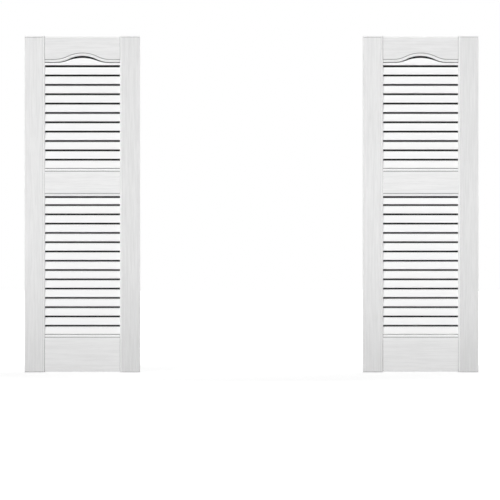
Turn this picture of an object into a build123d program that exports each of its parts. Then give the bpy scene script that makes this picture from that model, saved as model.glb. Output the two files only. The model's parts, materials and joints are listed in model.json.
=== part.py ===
from build123d import *
from math import atan, cos, sin
import os

# A pair of louvered shutters with cathedral tops, one on each side of a window.
# Millimetres. The wall is the plane y = 0, the fronts face -Y, x runs along the wall, z is up.
# x = 0 is the middle of the left shutter's window-side stile, z = 0 is the shutters' foot.

# Overall sizes
shutter_width = 374.65
shutter_height = 1092.2
shutter_depth = 28.6
window_gap = 724.6

# The moulding: its skin and its hidden ribs
skin = 2.4
rib_thickness = 1.8
rib_relief = 1.5

# Stiles and rails
stile_width = 65.0
stile_edge_radius = 1.5
stile_end_radius = 2.0
cap_line_drop = 4.8
cap_line_width = 0.9
cap_line_depth = 0.8
stile_rib_count = 9
rail_setback = 2.4
rail_end_drop = 2.4
rail_end_radius = 3.0
rail_end_bevel = 0.8
rail_rib_count = 3
bottom_rail_height = 121.6
middle_rail_bottom = 572.3
middle_rail_height = 88.9
top_rail_height = 84.6

# The bead along the openings: a rounded crown that falls to the opening's edge, behind a groove
bead_width = 7.6
stile_bead_width = 7.2
bead_crown_place = 0.6
bead_crown = 0.4
bead_shoulder = 1.2
stile_bead_shoulder = 0.7
bead_fall = 3.4
groove_width = 1.8
groove_depth = 2.6
slope_width = 10.0
slope_fall = 1.2

# The arch under the top rail, made of two foot arcs and a crown arc that meet smoothly
arch_half_width = 90.0
arch_rise = 20.9
arch_crown_share = 0.51

# Louvers: slats with a nose at the bottom of the front, leaning back towards the top
louver_pitch = 30.2
louver_slit = 5.7
louver_foot_gap = 1.9
louver_head_gap = 1.9
louver_head_slit = 6.4
louver_setback = 6.1
louver_lean = 11.0
louver_thickness = 2.2
nose_height = 3.2
nose_depth = 3.2
nose_radius = 1.6
arched_side_height = 7.3
arched_side_gap = 2.8
arched_crown_gap = 7.2
arched_foot_slit = 6.6

# Places that follow from the sizes above
stile_face = -shutter_depth
rail_face = stile_face + rail_setback
rail_length = shutter_width - 2 * stile_width
rail_half = rail_length / 2
middle_rail_top = middle_rail_bottom + middle_rail_height
arch_spring = shutter_height - top_rail_height
bead_band = bead_width + groove_width
middle_slope_foot = middle_rail_top - bead_band
bottom_slope_foot = bottom_rail_height - bead_band
stile_bead_back = stile_face + stile_bead_shoulder + skin
rail_bead_back = rail_face + groove_depth + skin

louver_front = stile_face + louver_setback
louver_height = louver_pitch - louver_slit
louver_slant = atan(louver_lean / (louver_height - nose_height))
louver_across = louver_thickness / cos(louver_slant)

lower_bank_bottom = bottom_rail_height + louver_foot_gap
lower_bank_head = middle_rail_bottom - louver_head_slit
lower_bank_climb = middle_rail_bottom - louver_head_gap - louver_height - lower_bank_bottom
lower_louver_count = round(lower_bank_climb / louver_pitch) + 1
lower_louver_pitch = lower_bank_climb / (lower_louver_count - 1)
arched_louver_bottom = arch_spring - arched_side_gap - arched_side_height
upper_bank_bottom = middle_rail_top + louver_foot_gap
upper_bank_head = arched_louver_bottom - arched_foot_slit
upper_bank_climb = arched_louver_bottom - upper_bank_bottom
upper_louver_count = round(upper_bank_climb / louver_pitch)
upper_louver_pitch = upper_bank_climb / upper_louver_count

left_shutter_x = (stile_width - shutter_width) / 2
right_shutter_x = left_shutter_x + shutter_width + window_gap


def draw_arch(middle, spring, rise, lift=0.0):
    """Draw a level line that swells into a low arch, or its parallel at a lift above it."""
    turn = 2 * atan(rise / arch_half_width)
    radii = arch_half_width / sin(turn)
    crown_radius = arch_crown_share * radii + lift
    meeting_x = crown_radius * sin(turn)
    crown_z = spring + rise + lift
    meeting_z = crown_z - crown_radius * (1 - cos(turn))
    foot_z = spring + lift
    Line((middle - rail_half, foot_z), (middle - arch_half_width, foot_z))
    TangentArc((middle - arch_half_width, foot_z), (middle - meeting_x, meeting_z), tangent=(1, 0))
    ThreePointArc((middle - meeting_x, meeting_z), (middle, crown_z), (middle + meeting_x, meeting_z))
    TangentArc((middle + arch_half_width, foot_z), (middle + meeting_x, meeting_z), tangent=(-1, 0))
    Line((middle + arch_half_width, foot_z), (middle + rail_half, foot_z))


def draw_bead(edge, inward, face):
    """Draw a bead and its groove's floor in a rail's section, from the opening's edge inward."""
    crown = edge + inward * bead_width * bead_crown_place
    shoulder = edge + inward * bead_width
    wall = edge + inward * bead_band
    ThreePointArc((face + bead_fall, edge), (face + bead_crown, crown), (face + bead_shoulder, shoulder))
    Polyline((face + bead_shoulder, shoulder), (face + groove_depth, shoulder), (face + groove_depth, wall))


def area_above_arch(middle, spring, rise, lift, top):
    """The area between an arch and a level top, over the length of a rail."""
    with BuildSketch(Plane.XZ) as area:
        with BuildLine():
            draw_arch(middle, spring, rise, lift)
            Polyline(
                (middle - rail_half, spring + lift),
                (middle - rail_half, top),
                (middle + rail_half, top),
                (middle + rail_half, spring + lift),
            )
        make_face()
    return area.sketch


def level_area(middle, width, bottom, top):
    """A rectangle on the wall plane."""
    with BuildSketch(Plane.XZ) as area:
        with Locations((middle, (bottom + top) / 2)):
            Rectangle(width, top - bottom)
    return area.sketch


def pockets_between_ribs(area, ribs):
    """The area of a hollow back, less the ribs that cross it."""
    with BuildSketch(Plane.XZ) as pockets:
        add(Plane.XZ.to_local_coords(area))
        add(Plane.XZ.to_local_coords(ribs), mode=Mode.SUBTRACT)
    return pockets.sketch


def rail_ribs(middle):
    """Upright ribs at even steps along a rail."""
    with BuildSketch(Plane.XZ) as ribs:
        with Locations((middle, shutter_height / 2)):
            with GridLocations(rail_length / (rail_rib_count + 1), 0, rail_rib_count, 1):
                Rectangle(rib_thickness, shutter_height)
    return ribs.sketch


def stile_ribs(middle):
    """Level ribs at even steps up a stile."""
    with BuildSketch(Plane.XZ) as ribs:
        with Locations((middle, shutter_height / 2)):
            with GridLocations(0, shutter_height / (stile_rib_count + 1), 1, stile_rib_count):
                Rectangle(stile_width, rib_thickness)
    return ribs.sketch


def hollow_out(back, deep_back, bead_back, face_back, ribs):
    """Hollow a piece from behind: shallow behind its bead, deep behind its flat face, with low ribs."""
    extrude(pockets_between_ribs(back, ribs), amount=-bead_back, mode=Mode.SUBTRACT)
    extrude(pockets_between_ribs(deep_back, ribs), amount=-face_back, mode=Mode.SUBTRACT)
    extrude(back, amount=rib_relief, mode=Mode.SUBTRACT)


def build_stile(outer_edge, inward):
    """An upright side piece: a thin line below its top, and a bead along the side that the rails meet."""
    inner_edge = outer_edge + inward * stile_width
    shoulder = inner_edge - inward * stile_bead_width
    crown = inner_edge - inward * stile_bead_width * bead_crown_place
    middle = (outer_edge + inner_edge) / 2
    flat_width = stile_width - stile_bead_width
    flat_middle = (outer_edge + shoulder) / 2
    back = level_area(middle, stile_width - 2 * skin, skin, shutter_height - skin)
    deep_back = level_area(flat_middle, flat_width - 2 * skin, skin, shutter_height - skin)
    with BuildPart() as stile:
        with BuildSketch(Plane.XY):
            with BuildLine():
                Line((outer_edge, 0), (outer_edge, stile_face + stile_edge_radius))
                TangentArc(
                    (outer_edge, stile_face + stile_edge_radius),
                    (outer_edge + inward * stile_edge_radius, stile_face),
                    tangent=(0, -1),
                )
                Polyline(
                    (outer_edge + inward * stile_edge_radius, stile_face),
                    (shoulder, stile_face),
                    (shoulder, stile_face + stile_bead_shoulder),
                )
                ThreePointArc(
                    (shoulder, stile_face + stile_bead_shoulder),
                    (crown, stile_face + bead_crown),
                    (inner_edge, stile_face + bead_fall),
                )
                Polyline((inner_edge, stile_face + bead_fall), (inner_edge, 0), (outer_edge, 0))
            make_face()
        extrude(amount=shutter_height)
        with BuildSketch(Plane.YZ.offset(middle)) as side_view:
            with Locations((stile_face / 2, shutter_height / 2)):
                Rectangle(shutter_depth, shutter_height)
            fillet(side_view.vertices().group_by(Axis.X)[0], stile_end_radius)
            with Locations((stile_face, shutter_height - cap_line_drop)):
                Rectangle(2 * cap_line_depth, cap_line_width, mode=Mode.SUBTRACT)
        extrude(amount=stile_width, both=True, mode=Mode.INTERSECT)
        hollow_out(back, deep_back, stile_bead_back, stile_face + skin, stile_ribs(middle))
    return stile


def build_top_rail(middle):
    """The head of a shutter, with a bead swept along the arch over the louvers."""
    top = shutter_height - rail_end_drop
    face_area = area_above_arch(middle, arch_spring, arch_rise, bead_band, top)
    back = area_above_arch(middle, arch_spring, arch_rise, skin, top - skin)
    deep_back = area_above_arch(middle, arch_spring, arch_rise, bead_band + skin, top - skin)
    with BuildLine(Plane.XZ) as arch:
        draw_arch(middle, arch_spring, arch_rise)
    with BuildPart() as rail:
        extrude(face_area, amount=-rail_face)
        with BuildSketch(Plane.YZ.offset(middle - rail_half)) as bead:
            with BuildLine():
                draw_bead(arch_spring, 1, rail_face)
                Polyline(
                    (rail_face + groove_depth, arch_spring + bead_band),
                    (0, arch_spring + bead_band),
                    (0, arch_spring),
                    (rail_face + bead_fall, arch_spring),
                )
            make_face()
        sweep(bead.sketch, path=arch.line)
        hollow_out(back, deep_back, rail_bead_back, rail_face + skin, rail_ribs(middle))
        fillet(rail.edges().filter_by(Axis.X).group_by(Axis.Z)[-1].sort_by(Axis.Y)[0], rail_end_radius)
        chamfer(rail.edges().filter_by(Axis.Z).group_by(Axis.Y)[0], rail_end_bevel)
    return rail


def build_middle_rail(middle):
    """The rail between the two banks of louvers, beaded below and sloped and beaded above."""
    slope_start = middle_slope_foot - slope_width
    flat_foot = middle_rail_bottom + bead_band
    back = level_area(middle, rail_length, middle_rail_bottom + skin, middle_rail_top - skin)
    deep_back = level_area(middle, rail_length, flat_foot + skin, slope_start)
    with BuildPart() as rail:
        with BuildSketch(Plane.YZ.offset(middle)):
            with BuildLine():
                draw_bead(middle_rail_bottom, 1, rail_face)
                Polyline(
                    (rail_face + groove_depth, flat_foot),
                    (rail_face, flat_foot),
                    (rail_face, slope_start),
                    (rail_face + slope_fall, middle_slope_foot),
                    (rail_face + slope_fall + groove_depth, middle_slope_foot),
                )
                draw_bead(middle_rail_top, -1, rail_face + slope_fall)
                Polyline(
                    (rail_face + slope_fall + bead_fall, middle_rail_top),
                    (0, middle_rail_top),
                    (0, middle_rail_bottom),
                    (rail_face + bead_fall, middle_rail_bottom),
                )
            make_face()
        extrude(amount=rail_half, both=True)
        hollow_out(back, deep_back, rail_bead_back + slope_fall, rail_face + skin, rail_ribs(middle))
        chamfer(rail.edges().filter_by(Axis.Z).group_by(Axis.Y)[0], rail_end_bevel)
    return rail


def build_bottom_rail(middle):
    """The foot of a shutter, sloped and beaded along its upper edge."""
    slope_start = bottom_slope_foot - slope_width
    back = level_area(middle, rail_length, rail_end_drop + skin, bottom_rail_height - skin)
    deep_back = level_area(middle, rail_length, rail_end_drop + skin, slope_start)
    with BuildPart() as rail:
        with BuildSketch(Plane.YZ.offset(middle)):
            with BuildLine():
                Polyline(
                    (rail_face, rail_end_drop),
                    (rail_face, slope_start),
                    (rail_face + slope_fall, bottom_slope_foot),
                    (rail_face + slope_fall + groove_depth, bottom_slope_foot),
                )
                draw_bead(bottom_rail_height, -1, rail_face + slope_fall)
                Polyline(
                    (rail_face + slope_fall + bead_fall, bottom_rail_height),
                    (0, bottom_rail_height),
                    (0, rail_end_drop),
                    (rail_face, rail_end_drop),
                )
            make_face()
        extrude(amount=rail_half, both=True)
        hollow_out(back, deep_back, rail_bead_back + slope_fall, rail_face + skin, rail_ribs(middle))
        fillet(rail.edges().filter_by(Axis.X).group_by(Axis.Z)[0].sort_by(Axis.Y)[0], rail_end_radius)
        chamfer(rail.edges().filter_by(Axis.Z).group_by(Axis.Y)[0], rail_end_bevel)
    return rail


def louver_section(middle, bottom, height):
    """A slat's section: an upright rounded nose, then a thin face that leans back to an upright edge."""
    lean = louver_lean * (height - nose_height) / (louver_height - nose_height)
    back = louver_front + lean + louver_thickness
    nose_back = louver_front + nose_depth
    face_back = louver_front + louver_across
    slant_rate = lean / (height - nose_height)
    with BuildSketch(Plane.YZ.offset(middle)) as section:
        with BuildLine():
            TangentArc(
                (louver_front, bottom + nose_radius),
                (louver_front + nose_radius, bottom),
                tangent=(0, -1),
            )
            Polyline(
                (louver_front + nose_radius, bottom),
                (nose_back, bottom),
                (nose_back, bottom + nose_height + (nose_back - face_back) / slant_rate),
                (back, bottom + height - (louver_across - louver_thickness) / slant_rate),
                (back, bottom + height),
                (louver_front + lean, bottom + height),
                (louver_front, bottom + nose_height),
                (louver_front, bottom + nose_radius),
            )
        make_face()
    return section.sketch


def build_louver_bank(middle, bottom, pitch, count, head):
    """Straight louvers one above the other, from stile to stile. The head trims the top one."""
    with BuildPart() as bank:
        for step in range(count):
            foot = bottom + step * pitch
            height = min(louver_height, head - foot)
            extrude(louver_section(middle, foot, height), amount=rail_half, both=True)
    return bank


def build_arched_louver(middle):
    """The top louver, taller than the others and trimmed to follow the arch above it."""
    spring = arch_spring - arched_side_gap
    rise = arch_rise + arched_side_gap - arched_crown_gap
    height = spring + rise - arched_louver_bottom
    clear = area_above_arch(middle, spring, rise, 0, shutter_height)
    with BuildPart() as louver:
        extrude(louver_section(middle, arched_louver_bottom, height), amount=rail_half, both=True)
        extrude(clear, amount=shutter_depth, mode=Mode.SUBTRACT)
    return louver


def save(piece, name):
    piece.part.label = name
    export_step(piece.part, f"parts/{name}.step")


os.makedirs("parts", exist_ok=True)
for side, middle, window_side in (("left", left_shutter_x, 1), ("right", right_shutter_x, -1)):
    outer_edge = middle - window_side * shutter_width / 2
    inner_edge = middle + window_side * shutter_width / 2
    save(build_stile(outer_edge, window_side), f"{side}_outer_stile")
    save(build_stile(inner_edge, -window_side), f"{side}_inner_stile")
    save(build_top_rail(middle), f"{side}_top_rail")
    save(build_middle_rail(middle), f"{side}_middle_rail")
    save(build_bottom_rail(middle), f"{side}_bottom_rail")
    save(build_arched_louver(middle), f"{side}_arched_louver")
    for bank, bottom, pitch, count, head in (
        ("upper", upper_bank_bottom, upper_louver_pitch, upper_louver_count, upper_bank_head),
        ("lower", lower_bank_bottom, lower_louver_pitch, lower_louver_count, lower_bank_head),
    ):
        save(build_louver_bank(middle, bottom, pitch, count, head), f"{side}_{bank}_louvers")
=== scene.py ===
import bpy
import json
from math import radians
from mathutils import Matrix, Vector

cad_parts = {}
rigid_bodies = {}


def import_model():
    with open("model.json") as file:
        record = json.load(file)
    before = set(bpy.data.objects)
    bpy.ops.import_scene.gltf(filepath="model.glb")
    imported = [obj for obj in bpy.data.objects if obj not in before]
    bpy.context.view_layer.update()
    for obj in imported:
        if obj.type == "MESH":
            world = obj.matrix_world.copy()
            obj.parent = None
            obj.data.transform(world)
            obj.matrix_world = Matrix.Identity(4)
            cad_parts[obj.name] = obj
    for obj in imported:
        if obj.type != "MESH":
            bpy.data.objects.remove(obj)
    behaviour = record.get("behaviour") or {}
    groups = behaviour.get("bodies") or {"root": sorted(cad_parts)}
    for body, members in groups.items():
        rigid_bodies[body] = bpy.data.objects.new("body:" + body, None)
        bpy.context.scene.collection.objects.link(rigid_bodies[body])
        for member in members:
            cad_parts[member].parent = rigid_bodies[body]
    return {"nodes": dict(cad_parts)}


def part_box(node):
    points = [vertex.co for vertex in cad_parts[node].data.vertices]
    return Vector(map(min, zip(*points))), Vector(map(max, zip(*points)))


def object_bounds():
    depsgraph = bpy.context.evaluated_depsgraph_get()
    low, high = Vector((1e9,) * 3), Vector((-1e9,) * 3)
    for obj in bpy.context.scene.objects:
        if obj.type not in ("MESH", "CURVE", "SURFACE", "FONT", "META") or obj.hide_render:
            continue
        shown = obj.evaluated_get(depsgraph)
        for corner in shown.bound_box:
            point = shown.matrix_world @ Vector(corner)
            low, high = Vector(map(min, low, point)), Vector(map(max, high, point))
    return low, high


# A pair of white louvered shutters with cathedral tops, seen straight on.
# Metres. The fronts face -Y, the wall is y = 0, z is up.

for item in list(bpy.data.objects):
    bpy.data.objects.remove(item)

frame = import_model()
nodes = frame["nodes"]
cad_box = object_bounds()
scene = bpy.context.scene
scene.view_settings.view_transform = "Standard"

box_low, box_high = cad_box
pair_middle = (box_low.x + box_high.x) / 2
front = box_low.y
top = box_high.z


# Node trees

class Shading:
    """The node tree of a material or a world, with short calls for the nodes that it uses."""

    def __init__(self, owner, output_kind="ShaderNodeOutputMaterial"):
        owner.use_nodes = True
        self.owner = owner
        self.tree = owner.node_tree
        self.tree.nodes.clear()
        self.output = self.tree.nodes.new(output_kind)

    def node(self, kind, values=(), **settings):
        """A node with its settings, and its input sockets set or joined by name or number."""
        made = self.tree.nodes.new(kind)
        for name, value in settings.items():
            setattr(made, name, value)
        for socket, value in dict(values).items():
            if isinstance(value, bpy.types.NodeSocket):
                self.tree.links.new(value, made.inputs[socket])
            else:
                made.inputs[socket].default_value = value
        return made

    def maths(self, operation, *values, clamp=False):
        made = self.node("ShaderNodeMath", enumerate(values), operation=operation, use_clamp=clamp)
        return made.outputs[0]

    def ramp(self, value, low, high):
        """A smooth step from 0 at one level to 1 at another."""
        levels = {"Value": value, "From Min": low, "From Max": high}
        return self.node("ShaderNodeMapRange", levels, interpolation_type="SMOOTHSTEP").outputs["Result"]

    def noise(self, place, stretch, detail, roughness=0.55, distortion=0.0):
        """Noise whose cells are 1 / stretch metres along each axis."""
        mapped = self.node("ShaderNodeMapping", {"Vector": place, "Scale": stretch}).outputs[0]
        pattern = {
            "Vector": mapped,
            "Scale": 1.0,
            "Detail": detail,
            "Roughness": roughness,
            "Distortion": distortion,
        }
        return self.node("ShaderNodeTexNoise", pattern).outputs["Fac"]

    def blend(self, share, first, second):
        """A colour between two, by a share. The sockets of a Mix node have their colours at 6 and 7."""
        return self.node("ShaderNodeMix", {0: share, 6: first, 7: second}, data_type="RGBA").outputs[2]

    def seen_share(self):
        """1 on what the camera sees, straight or in gloss or glass, and 0 on what only gives light."""
        path = self.node("ShaderNodeLightPath")
        seen = self.maths("MAXIMUM", path.outputs["Is Camera Ray"], path.outputs["Is Glossy Ray"])
        return self.maths("MAXIMUM", seen, path.outputs["Is Transmission Ray"])

    def finish(self, shader):
        self.tree.links.new(shader, self.output.inputs["Surface"])
        return self.owner


def grey(level):
    return (level, level, level, 1.0)


def even(cells):
    """Stretch factors for noise that is the same in all directions."""
    return (cells, cells, cells)


def along(axis, long_cells, short_cells):
    """Stretch factors for streaks that run along one axis."""
    return tuple(long_cells if place == axis else short_cells for place in range(3))


# Vinyl. Tones are shares of full white, and noise cells are counted per metre.

cloud_cells = 6
cloud_levels = (0.3, 0.7)
cloud_roughness = 0.08
speck_cells = 900
speck_height = 0.06
swell_cells = 38
swell_height = 0.5
tone_spread = 0.007
vinyl_roughness = 0.48
bump_strength = 0.55
bump_distance = 0.00022
painted_crevice_shade_tone = 0.02

facing_levels = (0.985, 0.992)
face_tone_spread = 0.01
face_roughness = 0.12

# Wood grain. Its cells are counted along it and across it.

band_cells = (2.4, 60)
streak_cells = (8, 170)
streak_levels = (0.36, 0.64)
streak_height = 0.7
pore_cells = (26, 800)
pore_levels = (0.52, 0.66)
pore_height = -0.45
pore_shade = 0.5
most_shade = 0.67
grain_height = 1.6
grain_tone_drop = 0.08


def flat_share(shading):
    """1 on the faces that look straight ahead, and 0 on the beads, slopes and edges."""
    normal = shading.node("ShaderNodeNewGeometry").outputs["True Normal"]
    facing = shading.node("ShaderNodeSeparateXYZ", {0: normal}).outputs["Y"]
    return shading.ramp(shading.maths("MULTIPLY", facing, -1.0), *facing_levels)


def wood_grain(shading, place, axis):
    """Embossed wood grain that runs along an axis: its height, and how far it darkens the tone."""
    bands = shading.noise(place, along(axis, *band_cells), detail=3, distortion=0.4)
    streaks = shading.noise(place, along(axis, *streak_cells), detail=4, roughness=0.65)
    pores = shading.noise(place, along(axis, *pore_cells), detail=2)
    pore = shading.ramp(pores, *pore_levels)
    height = shading.maths("MULTIPLY_ADD", streaks, streak_height, bands)
    height = shading.maths("MULTIPLY_ADD", pore, pore_height, height)
    shade = shading.maths("MULTIPLY_ADD", pore, pore_shade, shading.ramp(streaks, *streak_levels))
    shade = shading.maths("MULTIPLY", shade, most_shade, clamp=True)
    return height, shade


def painted_light_towards_foot(shading, place, colour, painted_light_foot_tone):
    """The colour of the lower louvers, painted lighter towards the foot of their bank: painted light that
    evens out the fall of the light there.
    """
    bank_foot, bank_head = (corner.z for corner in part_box("left_lower_louvers"))
    height_up = shading.node("ShaderNodeSeparateXYZ", {0: place}).outputs["Z"]
    return shading.blend(shading.ramp(height_up, bank_head, bank_foot), colour, grey(painted_light_foot_tone))


def open_share(shading, reach, depth, painted_joint_shade):
    """1 on open surfaces, and less within reach of a groove or slit, or of another piece too; what is not
    open gets painted shade.
    """
    occlusion = shading.node(
        "ShaderNodeAmbientOcclusion", {"Distance": reach}, samples=8, only_local=not painted_joint_shade
    )
    return shading.maths("POWER", occlusion.outputs["AO"], depth)


def moulded_vinyl(
    name,
    tone,
    face_tone=None,
    grain_axis=None,
    painted_light_foot_tone=None,
    shadow_reach=0.004,
    shadow_depth=1.4,
    painted_joint_shade=False,
):
    """White moulded vinyl of one tone, with shade painted into its colour in its grooves and slits.

    Where a grain axis is given, the flat faces have a tone of their own and wood grain along that axis.
    A foot tone is the painted light that the lower louvers reach at their foot. Joints with other pieces
    get painted shade only where that is asked for.
    """
    shading = Shading(bpy.data.materials.new(name))
    place = shading.node("ShaderNodeTexCoord").outputs["Object"]
    cloud = shading.noise(place, even(cloud_cells), detail=2)
    speck = shading.noise(place, even(speck_cells), detail=2)
    swell = shading.noise(place, even(swell_cells), detail=1)
    clouding = shading.ramp(cloud, *cloud_levels)
    colour = shading.blend(clouding, grey(tone - tone_spread), grey(tone + tone_spread))
    # Painted light: the lower louvers get lighter towards their foot.
    if painted_light_foot_tone is not None:
        colour = painted_light_towards_foot(shading, place, colour, painted_light_foot_tone)
    swelling = shading.maths("MULTIPLY", swell, swell_height)
    height = shading.maths("MULTIPLY_ADD", speck, speck_height, swelling)
    roughness = shading.maths("MULTIPLY_ADD", cloud, cloud_roughness, vinyl_roughness)

    if grain_axis is not None:
        flat = flat_share(shading)
        face_low = grey(face_tone - face_tone_spread)
        face_high = grey(face_tone + face_tone_spread)
        colour = shading.blend(flat, colour, shading.blend(clouding, face_low, face_high))
        grain, shade = wood_grain(shading, place, grain_axis)
        grain = shading.maths("MULTIPLY", grain, flat)
        shade = shading.maths("MULTIPLY", shade, flat)
        colour = shading.blend(shade, colour, grey(face_tone - grain_tone_drop))
        height = shading.maths("MULTIPLY_ADD", grain, grain_height, height)
        roughness = shading.maths("MULTIPLY_ADD", flat, face_roughness, roughness)

    # Painted shade: an ambient occlusion node darkens the colour towards a near-black tone in grooves and
    # slits, and in joints with other pieces where asked.
    openness = open_share(shading, shadow_reach, shadow_depth, painted_joint_shade)
    colour = shading.blend(openness, grey(painted_crevice_shade_tone), colour)
    relief = {"Strength": bump_strength, "Distance": bump_distance, "Height": height}
    surface = {
        "Base Color": colour,
        "Roughness": roughness,
        "Normal": shading.node("ShaderNodeBump", relief).outputs[0],
        "IOR": 1.5,
        "Specular IOR Level": 0.42,
    }
    return shading.finish(shading.node("ShaderNodeBsdfPrincipled", surface).outputs[0])


# The axes that the grain runs along, x on the rails and z on the stiles
across = 0
upright = 2

# Painted shade reaches further into the slits between the louvers.
slit_shadow = {"shadow_reach": 0.013, "shadow_depth": 1.6}

left_stile_vinyl = moulded_vinyl(
    "vinyl_left_stile_grain",
    tone=0.945,
    face_tone=0.847,
    grain_axis=upright,
    shadow_depth=1.0,
    painted_joint_shade=True,
)
# Painted shade: the same vinyl as the left-hand stiles, in darker tones.
shaded_right_stile_vinyl = moulded_vinyl(
    "vinyl_right_stile_grain_painted_shade",
    tone=0.91,
    face_tone=0.808,
    grain_axis=upright,
    shadow_depth=0.5,
    painted_joint_shade=True,
)
# The rails are one vinyl in three tones by height: the middle and bottom rails are painted lighter than
# the top one, painted light that evens out the fall of the light towards the foot.
top_rail_vinyl = moulded_vinyl(
    "vinyl_top_rail_grain", tone=0.97, face_tone=0.842, grain_axis=across, painted_joint_shade=True
)
middle_rail_vinyl = moulded_vinyl(
    "vinyl_middle_rail_grain", tone=0.97, face_tone=0.883, grain_axis=across
)
bottom_rail_vinyl = moulded_vinyl(
    "vinyl_bottom_rail_grain",
    tone=0.985,
    face_tone=0.914,
    grain_axis=across,
    shadow_reach=0.0018,
    shadow_depth=1.7,
    painted_joint_shade=True,
)
# The louvers' light tone is partly their smooth finish and partly painted light, for the light from above
# on their up-leaning faces.
louver_vinyl = moulded_vinyl("vinyl_louvers", tone=0.955, **slit_shadow)
lower_louver_vinyl = moulded_vinyl("vinyl_lower_louvers", tone=0.957, painted_light_foot_tone=0.993, **slit_shadow)

# Seen from the front, the stiles on the left of the two shutters share one finish, and so do those on
# the right. The right-hand finish is painted darker than the left-hand one: painted shade for light from
# the left.
finishes = {
    "left_outer_stile": left_stile_vinyl,
    "left_inner_stile": shaded_right_stile_vinyl,
    "right_inner_stile": left_stile_vinyl,
    "right_outer_stile": shaded_right_stile_vinyl,
}
for side in ("left", "right"):
    finishes[f"{side}_top_rail"] = top_rail_vinyl
    finishes[f"{side}_middle_rail"] = middle_rail_vinyl
    finishes[f"{side}_bottom_rail"] = bottom_rail_vinyl
    finishes[f"{side}_arched_louver"] = louver_vinyl
    finishes[f"{side}_upper_louvers"] = louver_vinyl
    finishes[f"{side}_lower_louvers"] = lower_louver_vinyl
for name, finish in finishes.items():
    nodes[name].material_slots[0].material = finish


# Floor and painted shade sheets. The floor's own glow grows from the near reach, measured from the middle
# of the pair, to full white at the far reach. The recess sheets are dark sheets of painted shade that
# stand just inside the shutters' backs, and their ends are hidden behind the rails.

floor_half_width = 30.0
floor_drop = 0.0004
floor_tone = 0.45
near_glow = 0.74
near_reach = 0.9
far_reach = 1.6

painted_recess_shade_tone = 0.03
recess_gap = 0.0002
behind_rail = 0.012


def stage_sheet(name, corners, material):
    mesh = bpy.data.meshes.new(name)
    mesh.from_pydata(corners, [], [tuple(range(len(corners)))])
    mesh.materials.append(material)
    made = bpy.data.objects.new(name, mesh)
    scene.collection.objects.link(made)


def floor_material():
    """A pale floor that keeps the shadow near the shutters and fades to the white background."""
    shading = Shading(bpy.data.materials.new("pale_floor"))
    place = shading.node("ShaderNodeTexCoord").outputs["Object"]
    reach = shading.node(
        "ShaderNodeVectorMath",
        {0: place, 1: (pair_middle, 0.0, 0.0)},
        operation="DISTANCE",
    ).outputs["Value"]
    far = shading.ramp(reach, near_reach, far_reach)
    brightness = shading.maths("MULTIPLY_ADD", far, 1.0 - near_glow, near_glow)
    glow = shading.maths("MULTIPLY", shading.seen_share(), brightness)
    paint = shading.node("ShaderNodeBsdfDiffuse", {"Color": grey(floor_tone)}).outputs[0]
    light = shading.node("ShaderNodeEmission", {"Color": grey(1.0), "Strength": glow}).outputs[0]
    return shading.finish(shading.node("ShaderNodeAddShader", {0: paint, 1: light}).outputs[0])


def painted_shade_sheet_material():
    """A dark sheet of painted shade for the space behind the louvers. Only the camera in front sees it,
    so light passes it freely.
    """
    shading = Shading(bpy.data.materials.new("painted_shade_recess"))
    path = shading.node("ShaderNodeLightPath")
    back = shading.node("ShaderNodeNewGeometry").outputs["Backfacing"]
    shown = shading.maths("MULTIPLY", path.outputs["Is Camera Ray"], shading.maths("SUBTRACT", 1.0, back))
    clear = shading.node("ShaderNodeBsdfTransparent").outputs[0]
    dark = shading.node("ShaderNodeBsdfDiffuse", {"Color": grey(painted_recess_shade_tone)}).outputs[0]
    return shading.finish(shading.node("ShaderNodeMixShader", {0: shown, 1: clear, 2: dark}).outputs[0])


floor_corners = [
    (x_sign * floor_half_width, y_sign * floor_half_width, -floor_drop)
    for x_sign, y_sign in ((-1, -1), (1, -1), (1, 1), (-1, 1))
]
stage_sheet("floor", floor_corners, floor_material())

# Dark sheets of painted shade behind the louver banks
recess = painted_shade_sheet_material()
for side in ("left", "right"):
    low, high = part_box(f"{side}_lower_louvers")
    upper_low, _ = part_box(f"{side}_upper_louvers")
    _, arched_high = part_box(f"{side}_arched_louver")
    for part, foot, head in (("lower", low.z, high.z), ("upper", upper_low.z, arched_high.z)):
        foot, head = foot - behind_rail, head + behind_rail
        stage_sheet(
            f"{side}_{part}_recess",
            [(low.x, -recess_gap, foot), (high.x, -recess_gap, foot),
             (high.x, -recess_gap, head), (low.x, -recess_gap, head)],
            recess,
        )


# Light and sky

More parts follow.
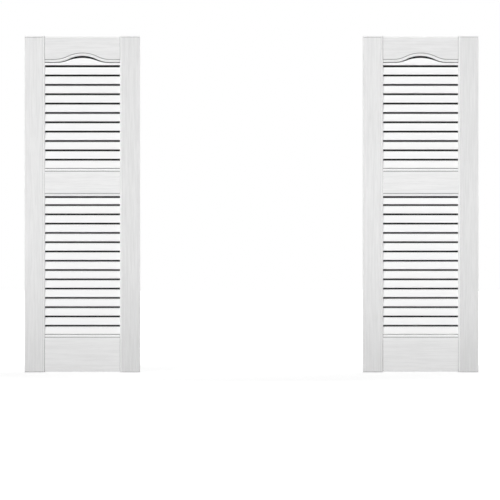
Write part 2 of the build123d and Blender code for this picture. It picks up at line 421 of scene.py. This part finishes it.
def studio_world():
    """Even light from all round, and a white backdrop where the camera sees it."""
    shading = Shading(bpy.data.worlds.new("studio"), "ShaderNodeOutputWorld")
    ambient = shading.node("ShaderNodeBackground", {"Color": grey(1.0), "Strength": 0.33}).outputs[0]
    backdrop = shading.node("ShaderNodeBackground", {"Color": grey(1.0), "Strength": 1.0}).outputs[0]
    mixed = shading.node("ShaderNodeMixShader", {0: shading.seen_share(), 1: ambient, 2: backdrop})
    return shading.finish(mixed.outputs[0])


def turned(towards):
    """The rotation of a lamp that shines towards a direction."""
    return Vector(towards).to_track_quat("-Z", "Y").to_euler()


def softbox(name, place, aim, width, height, power, spread=180):
    lamp = bpy.data.lights.new(name, "AREA")
    lamp.shape = "RECTANGLE"
    lamp.size = width
    lamp.size_y = height
    lamp.energy = power
    lamp.spread = radians(spread)
    made = bpy.data.objects.new(name, lamp)
    made.location = place
    made.rotation_euler = turned(Vector(aim) - Vector(place))
    made.visible_camera = False
    scene.collection.objects.link(made)


def far_lamp(name, towards, strength, spread):
    """A lamp far away, so that both shutters get the same light."""
    lamp = bpy.data.lights.new(name, "SUN")
    lamp.energy = strength
    lamp.angle = radians(spread)
    made = bpy.data.objects.new(name, lamp)
    made.rotation_euler = turned(towards)
    scene.collection.objects.link(made)


scene.world = studio_world()
far_lamp("key", towards=(0.34, 0.88, -0.33), strength=1.1, spread=20)
softbox(
    "front_soft",
    place=(pair_middle, -1.9, 1.0),
    aim=(pair_middle, 0.0, 1.0),
    width=4.4,
    height=2.0,
    power=9.9,
    spread=40,
)
softbox(
    "rear",
    place=(pair_middle + 1.5, 3.0, 1.5),
    aim=(pair_middle, 0.0, top / 2),
    width=2.0,
    height=2.0,
    power=60,
)


# Camera, level and straight ahead. The middle of the view is off the pair's own middle, as in the photo.

view_width = 1.624
view_distance = 15.0
view_middle_x = 0.38993
view_middle_z = 0.3970

camera = bpy.data.objects.new("camera", bpy.data.cameras.new("camera"))
camera.data.lens = camera.data.sensor_width * view_distance / view_width
camera.data.clip_end = 200.0
camera.location = (view_middle_x, front - view_distance, view_middle_z)
camera.rotation_euler = (radians(90), 0, 0)
scene.collection.objects.link(camera)
scene.camera = camera
